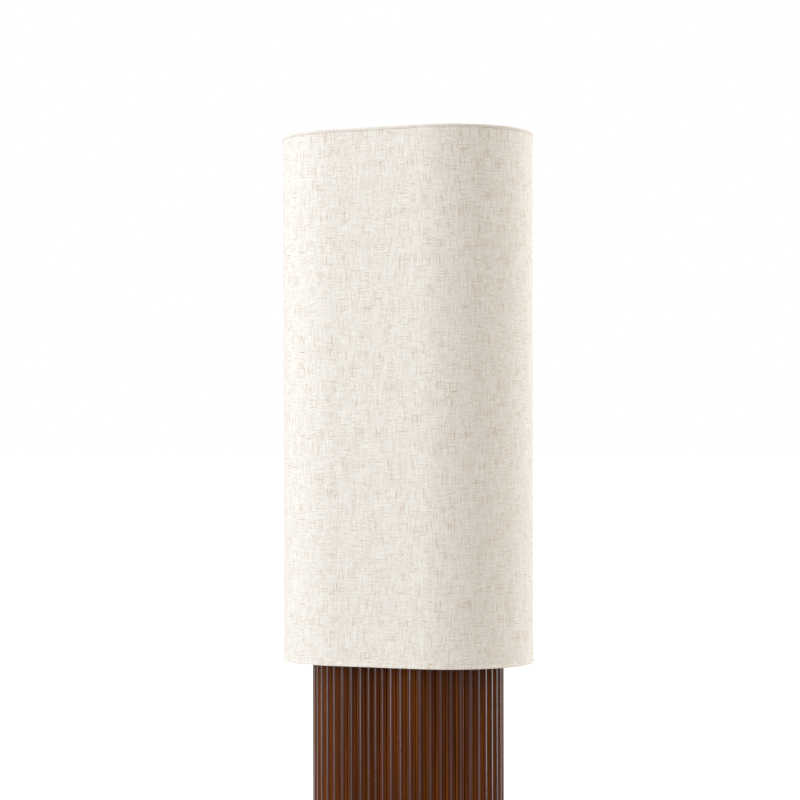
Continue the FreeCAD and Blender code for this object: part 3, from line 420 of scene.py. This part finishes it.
def outline_plate(name, points, level, height):
    """A plate of any outline: a ring of as many corners moved to its points, filled and extruded."""
    bpy.ops.object.select_all(action="DESELECT")
    bpy.ops.mesh.primitive_circle_add(
        vertices=len(points), radius=1, fill_type="NGON", location=(0, 0, 0)
    )
    piece = bpy.context.object
    piece.name = name
    for corner, (x, y) in zip(piece.data.vertices, points):
        corner.co = (x, y, level)
    bpy.ops.object.mode_set(mode="EDIT")
    bpy.ops.mesh.select_all(action="SELECT")
    bpy.ops.mesh.extrude_region_move(TRANSFORM_OT_translate={"value": (0, 0, height)})
    bpy.ops.mesh.select_all(action="SELECT")
    bpy.ops.mesh.normals_make_consistent(inside=False)
    bpy.ops.object.mode_set(mode="OBJECT")
    return piece


def mark_reeds(piece, outline, marks):
    """A map of how far each corner is from its groove (0) to the crest (1), and 1 off the reeds."""
    digits = 5
    found = {(round(x, digits), round(y, digits)): mark for (x, y), mark in zip(outline, marks)}
    uv = piece.data.uv_layers.active or piece.data.uv_layers.new()
    uv.name = "reed"
    for loop in piece.data.loops:
        x, y, z = piece.data.vertices[loop.vertex_index].co
        uv.data[loop.index].uv = (found.get((round(x, digits), round(y, digits)), 1.0), z)


def smooth(piece, angle):
    """Shades a piece smooth, but for edges sharper than an angle in degrees."""
    only(piece)
    bpy.ops.object.shade_smooth_by_angle(angle=math.radians(angle))


def apply(piece, kind, **settings):
    """Gives a piece a modifier and applies it."""
    only(piece)
    modifier = piece.modifiers.new(kind.title(), kind)
    for key, value in settings.items():
        setattr(modifier, key, value)
    bpy.ops.object.modifier_apply(modifier=modifier.name)


def on_oval(along, half_flat, radius, depth=0.0):
    """The point a length along an oval from the middle of its front, a depth inside it."""
    reach = radius - depth
    bend = math.pi * radius
    whole = 4 * half_flat + 2 * bend
    along = along % whole
    if along <= half_flat:
        return along, -reach
    if along <= half_flat + bend:
        turn = (along - half_flat) / radius - math.pi / 2
        return half_flat + reach * math.cos(turn), reach * math.sin(turn)
    if along <= 3 * half_flat + bend:
        return 2 * half_flat + bend - along, reach
    if along <= 3 * half_flat + 2 * bend:
        turn = (along - 3 * half_flat - bend) / radius + math.pi / 2
        return -half_flat + reach * math.cos(turn), reach * math.sin(turn)
    return along - whole, -reach


def dress(piece, material, body, slot, *nodes):
    """Gives a finished piece its material, its body and the solids it stands for."""
    piece.data.materials.clear()
    piece.data.materials.append(material)
    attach(piece, body)
    if nodes:
        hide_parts(*nodes)


def paint_nodes(material, *names):
    """Gives solids that stay as they are a better material."""
    for name in names:
        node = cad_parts[name]
        node.data.materials.clear()
        node.data.materials.append(material)


def smooth_copy(node, angle=40):
    """A merged copy of a solid, its curved faces shaded smooth."""
    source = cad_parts[node]
    piece = source.copy()
    piece.data = source.data.copy()
    piece.name = node + "_smooth"
    piece.parent = None
    bpy.context.collection.objects.link(piece)
    only(piece)
    bpy.ops.object.mode_set(mode="EDIT")
    bpy.ops.mesh.select_all(action="SELECT")
    bpy.ops.mesh.remove_doubles(threshold=0.000005)
    bpy.ops.object.mode_set(mode="OBJECT")
    smooth(piece, angle)
    return piece


# --- Operators ----------------------------------------------------------------------------------


class LAMP_OT_column(bpy.types.Operator):
    """Model the two reeded half shells and the two closing strips, and lacquer them"""

    bl_idname = "lamp.column"
    bl_label = "Reeded column"

    def reeds(self, start, end, count, spot, steps):
        """Points of a run of reeds, each a circular arc from groove to groove."""
        points = []
        pitch = (end - start) / count
        for reed in range(count):
            left = Vector(spot(start + reed * pitch, groove=True))
            right = Vector(spot(start + (reed + 1) * pitch, groove=True))
            crest = Vector(spot(start + (reed + 0.5) * pitch, groove=False))
            middle = (left + right) / 2
            rise = (crest - middle).length
            half = (right - left).length / 2
            radius = (half * half + rise * rise) / (2 * rise)
            out = (crest - middle).normalized()
            side = (right - left).normalized()
            centre = crest - out * radius
            reach = math.asin(half / radius) if rise < radius else math.pi - math.asin(half / radius)
            for step in range(steps):
                turn = -reach + 2 * reach * step / steps
                point = centre + side * (radius * math.sin(turn)) + out * (radius * math.cos(turn))
                points.append(tuple(point))
        return points

    def plate(self, name, outline, reeds, sizes):
        """An upright plate as tall as the column, with its map of groove and crest."""
        low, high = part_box("right_half_shell")
        piece = outline_plate(name, outline, low.z, high.z - low.z)
        steps = sizes.reed_steps
        marks = [1 - abs(2 * step / steps - 1) for _ in range(reeds) for step in range(steps)]
        mark_reeds(piece, outline, marks + [0])
        return piece

    def finish(self, piece, material, node):
        smooth(piece, angle=50)
        dress(piece, material, "frame", "wood", node)

    def shells(self, sizes, half, material):
        """The half shells, each from the front strip round one end to the back strip."""
        flat, radius, gap = sizes.half_flat, sizes.end_radius, sizes.joint
        inner = radius - sizes.wall
        front, back = half - sizes.strip_shift, half + sizes.strip_shift
        end = 2 * flat + math.pi * radius - back

        def spot(along, groove):
            return on_oval(along, flat, radius, sizes.reed_depth if groove else 0)

        outline = self.reeds(front + gap, end - gap, sizes.shell_reeds, spot, sizes.reed_steps)
        outline += [spot(end - gap, groove=True), (back + gap, inner)]
        arc_steps = 32
        for step in range(arc_steps + 1):
            turn = math.pi / 2 - math.pi * step / arc_steps
            outline.append((flat + inner * math.cos(turn), inner * math.sin(turn)))
        outline.append((front + gap, -inner))
        for side, name in ((1, "right"), (-1, "left")):
            turned = [(x * side, y * side) for x, y in outline]
            piece = self.plate(name + "_reeded_shell", turned, sizes.shell_reeds, sizes)
            self.finish(piece, material, name + "_half_shell")

    def strips(self, sizes, half, material):
        """The closing strips, a little left of the middle at the front and opposite it at the back."""
        inner = sizes.end_radius - sizes.wall
        left = -sizes.strip_shift - half + sizes.joint
        right = -sizes.strip_shift + half - sizes.joint

        def spot(along, groove):
            return along, -sizes.end_radius + (sizes.reed_depth if groove else 0)

        outline = self.reeds(left, right, sizes.strip_reeds, spot, sizes.reed_steps)
        outline += [spot(right, groove=True), (right, -inner), (left, -inner)]
        piece = self.plate("front_reeded_strip", outline, sizes.strip_reeds, sizes)
        self.finish(piece, material, "front_closing_strip")
        turned = [(-x, -y) for x, y in outline]
        piece = self.plate("back_reeded_strip", turned, sizes.strip_reeds, sizes)
        self.bore(piece, sizes)
        self.finish(piece, material, "back_closing_strip")

    def bore(self, piece, sizes):
        """The hole for the gland in the back strip."""
        low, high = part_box("lead_gland")
        middle = (low + high) / 2
        bpy.ops.object.select_all(action="DESELECT")
        bpy.ops.mesh.primitive_cylinder_add(
            vertices=48,
            radius=(high.x - low.x) / 2 * sizes.gland_neck,
            depth=4 * sizes.wall,
            location=(middle.x, high.y, middle.z),
            rotation=(math.pi / 2, 0, 0),
        )
        drill = bpy.context.object
        apply(piece, "BOOLEAN", operation="DIFFERENCE", object=drill, solver="EXACT")
        bpy.data.objects.remove(drill)

    def execute(self, context):
        sizes = context.scene.lamp_column
        material = walnut("lacquered_walnut", sizes)
        half = sizes.strip_reed * sizes.strip_reeds / 2
        self.shells(sizes, half, material)
        self.strips(sizes, half, material)
        paint_nodes(walnut("lid_walnut", sizes, reeded=False), "column_lid")
        return {"FINISHED"}


class LAMP_OT_shade(bpy.types.Operator):
    """Model the linen of the shade with its folded rims and back seam"""

    bl_idname = "lamp.shade"
    bl_label = "Linen shade"

    def tube(self, name, profile, half_flat):
        """A closed band round the oval from a closed profile of (end radius, level) points."""
        steps = 240
        bpy.ops.object.select_all(action="DESELECT")
        bpy.ops.mesh.primitive_grid_add(
            x_subdivisions=steps, y_subdivisions=len(profile), size=1, location=(0, 0, 0)
        )
        piece = bpy.context.object
        piece.name = name
        radius = max(r for r, _ in profile)
        whole = 4 * half_flat + 2 * math.pi * radius
        across = steps + 1
        uv = piece.data.uv_layers.active
        uv.name = "cloth"
        # The map's v is the way round the profile, counted from the level where it begins.
        run = [profile[0][1]]
        for i, corner in enumerate(profile):
            run.append(run[-1] + math.dist(corner, profile[(i + 1) % len(profile)]))
        for index, corner in enumerate(piece.data.vertices):
            row, column = divmod(index, across)
            r, z = profile[row % len(profile)]
            x, y = on_oval(whole * column / steps + whole / 2, half_flat, radius, radius - r)
            corner.co = (x, y, z)
        for loop in piece.data.loops:
            row, column = divmod(loop.vertex_index, across)
            uv.data[loop.index].uv = (whole * column / steps, run[row])
        only(piece)
        bpy.ops.object.mode_set(mode="EDIT")
        bpy.ops.mesh.select_all(action="SELECT")
        bpy.ops.mesh.remove_doubles(threshold=0.00001)
        bpy.ops.mesh.normals_make_consistent(inside=False)
        bpy.ops.object.mode_set(mode="OBJECT")
        return piece

    def skin(self, sizes, low, high):
        """The linen between the rims, where it draws in a little between the wires."""
        rows = 26
        outer, inner = [], []
        for row in range(rows + 1):
            share = row / rows
            draw = sizes.draw_in * math.sin(math.pi * share) ** 0.5 if 0 < share < 1 else 0.0
            level = low + (high - low) * share
            outer.append((sizes.end_radius - draw, level))
            inner.insert(0, (sizes.end_radius - sizes.cloth - draw, level))
        piece = self.tube("linen_skin", outer + inner, sizes.half_flat)
        smooth(piece, angle=40)
        return piece

    def hem(self, sizes, name, node, top):
        """The linen folded over a rim, from the tape outside, over the wire, to the inner face."""
        low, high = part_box(node)
        rim, way = (high.z, -1) if top else (low.z, 1)
        outside = sizes.end_radius
        inside = high.x - sizes.half_flat - sizes.hem_depth
        fold, hem = sizes.hem_fold, sizes.hem
        # The tape's rise off the linen, its curl over the wire, the lining and its tuck, and 0.1 mm.
        proud, curl, lining, tuck, tenth = 0.00048, 0.00035, 0.0006, 0.0029, 0.0001
        section = [
            (outside + proud / 4, fold),
            (outside + proud * 7 / 8, fold - 4 * tenth),
            (outside + proud, hem + 2 * lining),
            (outside + 4 * tenth, curl * 1.2),
            (outside - tenth, curl / 4),
            (outside - 8 * tenth, 0),
            (inside + lining, 0),
            (inside + tenth, curl),
            (inside, hem + 8 * tenth),
            (inside, hem + tuck),
            (inside + lining, hem + tuck + tenth),
            (inside + lining + tenth, hem),
            (outside + proud / 12, hem),
        ]
        piece = self.tube(name, [(r, rim + way * depth) for r, depth in section], sizes.half_flat)
        smooth(piece, angle=50)
        return piece

    def seam(self, sizes, low, high):
        """The folded lap of the linen up the back of the shade."""
        steps, across = 90, 8
        # How fast the lap rises from its edges, its share of rise there, its gap to the linen, and
        # its thickness.
        steepness, least, clear, thickness = 1.6, 0.05, 0.00002, 0.0002
        bpy.ops.object.select_all(action="DESELECT")
        bpy.ops.mesh.primitive_grid_add(x_subdivisions=across, y_subdivisions=steps, size=1)
        piece = bpy.context.object
        piece.name = "linen_back_seam"
        uv = piece.data.uv_layers.active
        uv.name = "cloth"
        for index, corner in enumerate(piece.data.vertices):
            row, column = divmod(index, across + 1)
            share = column / across
            x = sizes.seam_spot - sizes.lap * (share - 0.5)
            rise = sizes.seam_rise * min(1, math.sin(math.pi * share) * steepness + least)
            draw = sizes.draw_in * math.sin(math.pi * row / steps) ** 0.5
            y = sizes.end_radius + rise - draw + clear
            corner.co = (x, y, low + (high - low) * row / steps)
        for loop in piece.data.loops:
            row, column = divmod(loop.vertex_index, across + 1)
            uv.data[loop.index].uv = (sizes.lap * column / across, low + (high - low) * row / steps)
        apply(piece, "SOLIDIFY", thickness=thickness, offset=-1)
        smooth(piece, angle=60)
        return piece

    def execute(self, context):
        sizes = context.scene.lamp_shade
        low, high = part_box("shade_linen")
        material = linen("slub_linen", sizes)
        # Painted shade: a darker copy of the linen for the top hem, where the rim is in shade.
        folded = linen("top_hem_shaded_linen", sizes, share=0.93)
        skin = self.skin(sizes, low.z, high.z)
        dress(skin, material, "shade", "linen", "shade_linen")
        top = self.hem(sizes, "linen_top_hem", "shade_top_hem", top=True)
        dress(top, folded, "shade", "linen", "shade_top_hem")
        bottom = self.hem(sizes, "linen_bottom_hem", "shade_bottom_hem", top=False)
        dress(bottom, material, "shade", "linen", "shade_bottom_hem")
        seam = self.seam(sizes, low.z + sizes.hem_fold, high.z - sizes.hem_fold)
        dress(seam, material, "shade", "linen")
        return {"FINISHED"}


class LAMP_OT_fittings(bpy.types.Operator):
    """Give the lamp's solids of metal, timber, plastic and glass their finishes"""

    bl_idname = "lamp.fittings"
    bl_label = "Metal, timber and glass"

    def brass(self):
        """The plated pieces that carry the shade and hold the bulb."""
        brass = metal("satin_brass", (0.64, 0.47, 0.23), roughness=0.3)
        for body, nodes in (
            ("finial", ["finial"]),
            ("harp", ["harp"]),
            ("left_ferrule", ["left_ferrule"]),
            ("right_ferrule", ["right_ferrule"]),
            ("frame", ["riser_tube", "riser_foot_plate", "riser_collar"]),
            ("frame", ["holder_cap", "holder_shell", "holder_threaded_sleeve"]),
        ):
            for node in nodes:
                dress(smooth_copy(node), brass, body, "plated_brass", node)
        paint_nodes(brass, "harp_saddle", "holder_contact", "terminal_clamp_screws", "switch_spindle")

    def shade_frame(self):
        """The white wires and the stiff backing of the shade."""
        wire = plain("white_enamel", (0.82, 0.82, 0.8), roughness=0.35)
        for node in ("shade_spider", "shade_top_ring", "shade_bottom_ring"):
            dress(smooth_copy(node), wire, "shade", "white_wire", node)
        backing = plain(
            "white_laminate", (0.86, 0.84, 0.8), roughness=0.45, grain=500, depth=0.00003, change=0.02
        )
        dress(smooth_copy("shade_liner"), backing, "shade", "shade_backing", "shade_liner")

    def bulb(self):
        glass = frosted("frosted_glass")
        dress(smooth_copy("bulb_glass", angle=60), glass, "bulb", "frosted_glass", "bulb_glass")
        aluminium = metal("bright_aluminium", (0.75, 0.75, 0.76), roughness=0.25)
        paint_nodes(aluminium, "bulb_cap", "bulb_contact")
        insulator = plain("black_glass", (0.02, 0.02, 0.025), roughness=0.15, grain=200, depth=0.00001)
        paint_nodes(insulator, "bulb_insulator")

    def steel(self):
        """The screws, the rod, the base plate and the iron that weighs the lamp down."""
        zinc = metal("zinc_plating", (0.6, 0.61, 0.62), roughness=0.38)
        paint_nodes(zinc, "lid_screws", "base_screws", "ballast_bolts", "shell_screws", "strip_screws")
        paint_nodes(zinc, "terminal_fixing_screws", "hollow_rod", "rod_washer", "rod_nut")
        coated = plain(
            "black_powder_coat", (0.025, 0.025, 0.027), roughness=0.5, grain=1400, depth=0.00006
        )
        paint_nodes(coated, "base_plate")
        iron = plain(
            "rough_cast_iron", (0.08, 0.078, 0.075), roughness=0.75, grain=420, depth=0.0004, change=0.3
        )
        paint_nodes(iron, "ballast_block")

    def plastics(self):
        """The rubber, the mouldings and the pressed fibre."""
        rubber = plain("foot_rubber", (0.03, 0.03, 0.03), roughness=0.8, grain=700)
        paint_nodes(rubber, "rubber_feet")
        black = plain("black_moulding", (0.022, 0.022, 0.023), roughness=0.42, grain=1100)
        paint_nodes(black, "switch_knob", "holder_block", "inner_lead")
        dress(smooth_copy("lead_gland"), black, "frame", "black_plastic", "lead_gland")
        nylon = plain("white_nylon", (0.78, 0.78, 0.75), roughness=0.5, grain=800)
        paint_nodes(nylon, "terminal_block")
        paint_nodes(timber("pressed_fibre", (0.5, 0.42, 0.3), (0.42, 0.34, 0.24)), "holder_sleeve")

    def timbers(self):
        """The rails and the formers inside the column."""
        pine = timber("sawn_pine", (0.58, 0.41, 0.24), (0.42, 0.27, 0.14))
        paint_nodes(pine, "front_rail", "back_rail")
        ply = timber("birch_plywood", (0.66, 0.52, 0.35), (0.45, 0.32, 0.19), layers=600)
        paint_nodes(ply, "bottom_former", "middle_former", "top_former")

    def execute(self, context):
        self.brass()
        self.shade_frame()
        self.bulb()
        self.steel()
        self.plastics()
        self.timbers()
        return {"FINISHED"}


class LAMP_OT_stage(bpy.types.Operator):
    """Set up the camera, the pale floor, the white surround and the soft lights"""

    bl_idname = "lamp.stage"
    bl_label = "Studio"

    def execute(self, context):
        sizes = context.scene.lamp_studio
        place = self.round_the_lamp(sizes.turn, sizes.distance, sizes.level)
        bpy.ops.object.camera_add(location=place, rotation=(math.pi / 2, sizes.roll, sizes.turn))
        camera = bpy.context.object
        camera.data.lens = sizes.lens
        camera.data.sensor_width = sizes.sensor
        camera.data.shift_x = sizes.shift_right / sizes.picture
        camera.data.shift_y = sizes.shift_up / sizes.picture
        context.scene.camera = camera
        context.scene.view_settings.view_transform = "Standard"
        self.floor(sizes)
        context.scene.world = self.surround(sizes)
        for softbox in SOFTBOXES:
            self.softbox(sizes.aim, **softbox)
        return {"FINISHED"}

    def round_the_lamp(self, turn, distance, level):
        """A place round the lamp, turned from its front."""
        return (math.sin(turn) * distance, -math.cos(turn) * distance, level)

    def floor(self, sizes):
        """A wide pale floor, white to the camera but for the lamp's own shadow."""
        bpy.ops.object.select_all(action="DESELECT")
        bpy.ops.mesh.primitive_plane_add(size=sizes.floor_size, location=(0, 0, 0))
        floor = bpy.context.object
        floor.name = "studio_floor"
        paint = new_paint("pale_floor")
        x, y, _ = paint.split(paint.place())
        away = (x * x + y * y).maths("SQRT")
        glow_near, glow_far = 0.4, 0.9
        glow = paint.seen() * away.bounded(sizes.pool, sizes.reach, glow_near, glow_far)
        paint.finish(
            Base_Color=tuple(sizes.floor),
            Roughness=0.9,
            Specular_IOR_Level=0.0,
            Emission_Color=paint.mix(glow, (0, 0, 0), (1, 1, 1)),
            Emission_Strength=1.0,
        )
        floor.data.materials.append(paint.owner)

    def surround(self, sizes):
        """White all round for the camera, and a softer warm light on the lamp."""
        paint = Paint(bpy.data.worlds.new("white_surround"))
        seen = paint.seen()
        colour = paint.mix(seen, tuple(sizes.tint), (1, 1, 1))
        return paint.finish(Color=colour, Strength=seen.bounded(0, 1, sizes.ambient, 1.0))

    def softbox(self, aim, name, azimuth, distance, level, size, power, colour):
        """A soft lamp that points at the lamp's axis."""
        place = self.round_the_lamp(math.radians(azimuth), distance, level)
        bpy.ops.object.light_add(type="AREA", location=place)
        lamp = bpy.context.object
        lamp.name = name
        lamp.data.shape = "RECTANGLE"
        lamp.data.size, lamp.data.size_y = size
        lamp.data.energy = power
        lamp.data.color = colour
        way = Vector((0, 0, aim)) - Vector(place)
        lamp.rotation_euler = way.to_track_quat("-Z", "Y").to_euler()


class LAMP_PT_panel(bpy.types.Panel):
    """Lists the lamp's pieces in the sidebar"""

    bl_idname = "LAMP_PT_panel"
    bl_label = "Column floor lamp"
    bl_space_type = "VIEW_3D"
    bl_region_type = "UI"
    bl_category = "Lamp"

    def draw(self, context):
        for group in ("lamp_column", "lamp_shade", "lamp_studio"):
            sizes = getattr(context.scene, group)
            for name in sizes.bl_rna.properties.keys():
                if name not in ("rna_type", "name"):
                    self.layout.prop(sizes, name)
        for operator in OPERATORS:
            self.layout.operator(operator.bl_idname)


GROUPS = {
    "lamp_column": LampColumnSizes,
    "lamp_shade": LampShadeSizes,
    "lamp_studio": LampStudioSizes,
}
OPERATORS = (LAMP_OT_column, LAMP_OT_shade, LAMP_OT_fittings, LAMP_OT_stage)


def register():
    for name, group in GROUPS.items():
        bpy.utils.register_class(group)
        setattr(bpy.types.Scene, name, bpy.props.PointerProperty(type=group))
    for thing in (*OPERATORS, LAMP_PT_panel):
        bpy.utils.register_class(thing)


def unregister():
    for thing in (LAMP_PT_panel, *OPERATORS):
        bpy.utils.unregister_class(thing)
    for name, group in GROUPS.items():
        delattr(bpy.types.Scene, name)
        bpy.utils.unregister_class(group)


def main():
    """Makes the lamp and its studio."""
    register()
    bpy.ops.lamp.column()
    bpy.ops.lamp.shade()
    bpy.ops.lamp.fittings()
    bpy.ops.lamp.stage()


if __name__ == "__main__":
    main()
